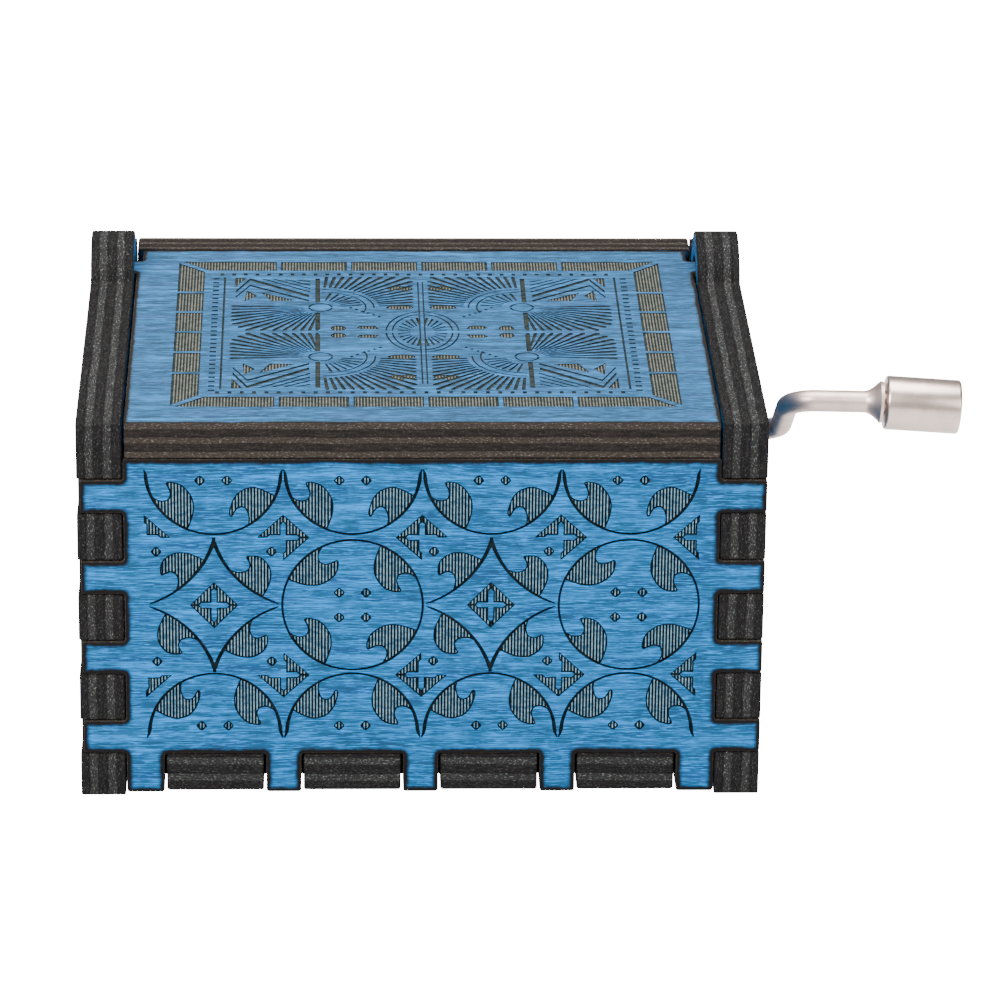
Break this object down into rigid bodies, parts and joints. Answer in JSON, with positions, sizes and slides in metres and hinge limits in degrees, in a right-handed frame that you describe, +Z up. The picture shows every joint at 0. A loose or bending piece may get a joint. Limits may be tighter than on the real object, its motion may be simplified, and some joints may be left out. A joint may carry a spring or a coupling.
{
  "type": "hand crank music box",
  "caption": "Small finger-jointed plywood box with a hinged engraved lid and a cranked comb movement inside.",
  "frame": {"origin": "centre of the case underside", "axes": "+Z up, +X towards the crank, -Y is the front with the engraved face"},
  "size_m": [0.0848, 0.052, 0.0411],
  "materials": {
    "dyed_plywood": "blue-dyed plywood, engraved, with charred dark edges",
    "plywood": "bare and dyed plywood with charred dark edges",
    "satin_nickel": "satin nickel plate",
    "steel": "ground and polished steel",
    "brass": "brushed brass",
    "nylon": "white moulded nylon",
    "lead": "dull grey lead"
  },
  "bodies": {
    "case": {"front_panel": "dyed_plywood", "back_panel": "dyed_plywood", "left_panel": "dyed_plywood", "right_panel": "dyed_plywood", "bottom_panel": "plywood", "comb": "steel", "comb_block": "brass", "comb_screw_1": "steel", "comb_screw_2": "steel", "comb_weight_1": "lead", "comb_weight_2": "lead", "comb_weight_3": "lead", "comb_weight_4": "lead", "comb_weight_5": "lead", "bedplate": "brass", "shaft_bracket_left": "brass", "shaft_bracket_right": "brass", "arbor_post_front": "brass", "arbor_post_rear": "brass", "shaft_bracket_left_screw": "steel", "shaft_bracket_right_screw": "steel", "arbor_post_front_screw": "steel", "arbor_post_rear_screw": "steel", "base_screw_1": "steel", "base_screw_2": "steel", "base_screw_3": "steel"},
    "lid": {"lid": "dyed_plywood"},
    "crank": {"crank_handle": "satin_nickel", "worm_shaft": "steel", "shaft_clip": "steel", "worm": "brass"},
    "knob": {"crank_knob": "satin_nickel"},
    "cylinder": {"cylinder_drum": "brass", "cylinder_cap_front": "brass", "cylinder_cap_rear": "brass", "cylinder_arbor": "steel", "worm_wheel": "nylon"}
  },
  "joints": [
    {"name": "lid_hinge", "type": "hinge", "parent": "case", "child": "lid", "pos_m": [0, 0.0173, 0.03595], "axis": [-1, 0, 0], "range_deg": [0, 140]},
    {"name": "crank_spin", "type": "hinge", "parent": "case", "child": "crank", "pos_m": [0.03, 0.01, 0.0231], "axis": [1, 0, 0], "continuous": true},
    {"name": "cylinder_spin", "type": "hinge", "parent": "case", "child": "cylinder", "pos_m": [0.007, -0.004, 0.0141], "axis": [0, 1, 0], "continuous": true},
    {"name": "knob_spin", "type": "hinge", "parent": "crank", "child": "knob", "pos_m": [0.04904, 0, 0.02958], "axis": [0.9976, 0, -0.0698], "continuous": true}
  ],
  "couplings": [
    {"joint": "cylinder_spin", "follows": "crank_spin", "ratio": -0.041667}
  ]
}
